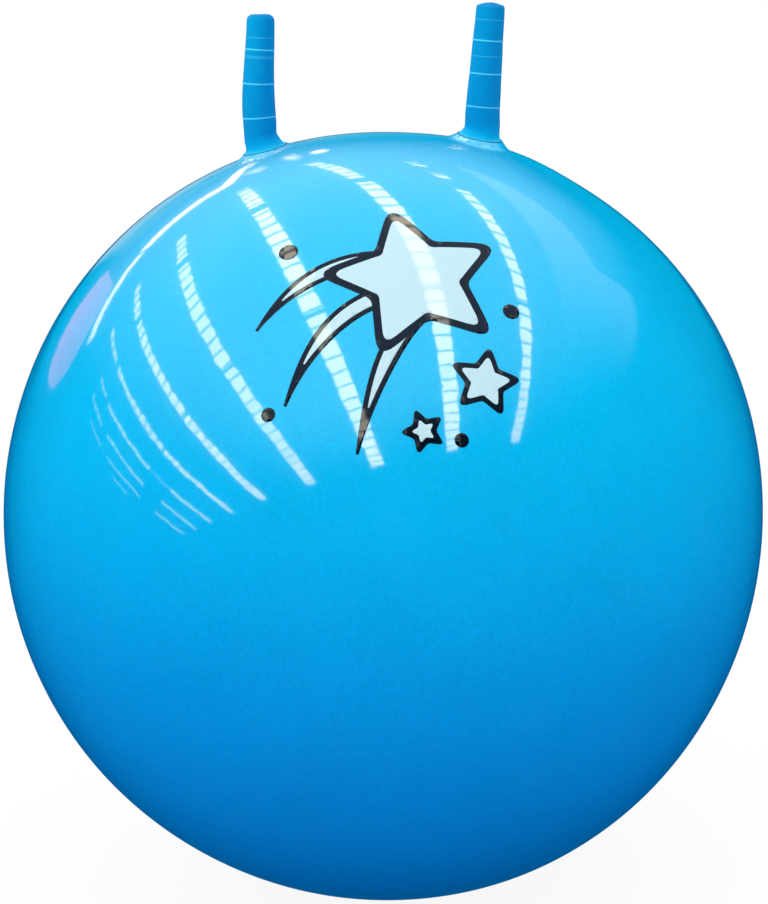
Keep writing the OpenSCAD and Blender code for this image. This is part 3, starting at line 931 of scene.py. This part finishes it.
def makeWorld():
    world = bpy.data.worlds.new("hallLight")
    bpy.context.scene.world = world
    world.use_nodes = True
    world.cycles.sampling_method = "NONE"  # each kind of ray sees its own light, so none is sent to lamps
    tree = world.node_tree
    tree.nodes.clear()
    way = addNode(tree, "TexCoord").outputs["Generated"]
    toward = dict(zip(("right", "behind", "level"), addNode(tree, "SeparateXYZ", [way]).outputs))
    for name, direction in hallWays.items():
        dot = addNode(tree, "VectorMath", [way, direction], operation="DOT_PRODUCT")
        toward[name] = dot.outputs["Value"]
    up = addNode(tree, "Math", [toward["up"], leastUp], operation="MAXIMUM")
    a = addNode(tree, "Math", [toward["across"], up], operation="DIVIDE")
    b = addNode(tree, "Math", [toward["along"], up], operation="DIVIDE")

    band = makeBandLamp(tree, toward)
    rows = makeLampRows(tree, toward, a, b)
    lamps = addNode(tree, "Math", [band, bandLamp["brightness"], rows], operation="MULTIPLY_ADD")
    lamps = addNode(tree, "Math", [lamps, lampRows["brightness"]], operation="MULTIPLY")
    lamps = addSmallLamps(tree, toward, lamps)
    roof = makeRoof(tree, toward, a, b)
    hall = addNode(tree, "CombineXYZ", [roof, roof, roof])
    hall = addLight(tree, hall, lampRows["colour"], lamps)
    hall = addWalls(tree, toward, way, hall)
    hall = addDoor(tree, toward, hall)

    dome = addNode(tree, "MapRange", {"Value": toward["level"], "To Min": softDome["low"],
                                      "To Max": softDome["low"] + softDome["high"]})
    side = addNode(tree, "Math", [toward["right"], -softDome["left"], 1.0], operation="MULTIPLY_ADD")
    dome = addNode(tree, "Math", [dome, side], operation="MULTIPLY")
    rays = addNode(tree, "LightPath").outputs
    mirrored = addNode(tree, "Background", {"Color": hall})
    soft = addNode(tree, "Background", {"Strength": dome, "Color": (1, 1, 1, 1)})
    plain = addNode(tree, "Background", {"Color": (1, 1, 1, 1)})
    mix = addNode(tree, "MixShader", [rays["Is Diffuse Ray"], mirrored, soft])
    mix = addNode(tree, "MixShader", [rays["Is Camera Ray"], mix, plain])
    addNode(tree, "OutputWorld", {"Surface": mix})
    print("hall:", len(tree.nodes), "nodes")


# half a side and the gap under the ball in metres, how much of its shadow shows, and how white it looks
floorLook = {"half": 40, "gap": 0.0002, "colour": "#d8d8d8", "shadow": 0.12, "white": 1.04}


def makeFloor():
    half = floorLook["half"]
    corners = [(x * half, y * half, -floorLook["gap"]) for x, y in ((-1, -1), (1, -1), (1, 1), (-1, 1))]
    floor = addPiece("floor", corners, [(0, 1, 2, 3)], False)
    material, tree, shader = newMaterial("paleFloor", {"Base Color": hexToLinear(floorLook["colour"]),
                                                       "Roughness": 1.0, "Specular IOR Level": 0.0})
    white = addNode(tree, "Emission", {"Color": (1, 1, 1, 1), "Strength": floorLook["white"]})
    dark = addNode(tree, "Emission", {"Color": (*hallWalls["low"], 1)})
    rays = addNode(tree, "LightPath").outputs
    lit = addNode(tree, "MixShader", [floorLook["shadow"], white, shader])
    mix = addNode(tree, "MixShader", [rays["Is Camera Ray"], shader, lit])
    mix = addNode(tree, "MixShader", [rays["Is Glossy Ray"], mix, dark])
    setInputs(tree, tree.get_output_node("ALL"), {"Surface": mix})
    floor.data.materials.append(material)


# A narrow soft light from the left gives the horns their round look.
hornLight = {"place": (-1620, -960, 690), "aim": (0, 0, 690), "watts": 72, "colour": "#ffffc0",
             "cone": 7.0, "blend": 0.6, "size": 60}


def makeHornLight():
    data = bpy.data.lights.new("hornLight", "SPOT")
    data.energy = hornLight["watts"]
    data.color = hexToLinear(hornLight["colour"])[:3]
    data.spot_size = math.radians(hornLight["cone"])
    data.spot_blend = hornLight["blend"]
    data.shadow_soft_size = hornLight["size"] * mm
    lamp = addObject("hornLight", data)
    lamp.location = Vector(hornLight["place"]) * mm
    aim = Vector(hornLight["aim"]) * mm - lamp.location
    lamp.rotation_euler = aim.to_track_quat("-Z", "Y").to_euler()
    lamp.visible_glossy = False


makeCamera(cameraSetup, (0, 0, ball["middle"]))

skin = makeSkin()
skin.data.materials.append(makeBlownVinyl())
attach(skin, "ball")
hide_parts("ball_skin")

hornVinyl = makeHornVinyl()
for name, look in horns.items():
    horn = makeHorn(name)
    horn.data.materials.append(hornVinyl)
    horn.visible_glossy = False  # the skin shows no mirrored horns
    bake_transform(horn)
    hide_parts(name + "_horn_root", name + "_horn_grip")

inks = [makeInkMaterial("blackInk", inkLook["black"]), makeInkMaterial("paleInk", inkLook["pale"])]
for ink in makePrint():
    ink.data.materials.append(inks["Pale" in ink.name])
    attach(ink, "ball")

for node, look in valveLook.items():
    nodes[node].data.materials.clear()
    nodes[node].data.materials.append(makeValveMaterial(look))
print("valve dressed")

makeFloor()
makeHornLight()
makeWorld()
bpy.context.scene.view_settings.view_transform = "Standard"
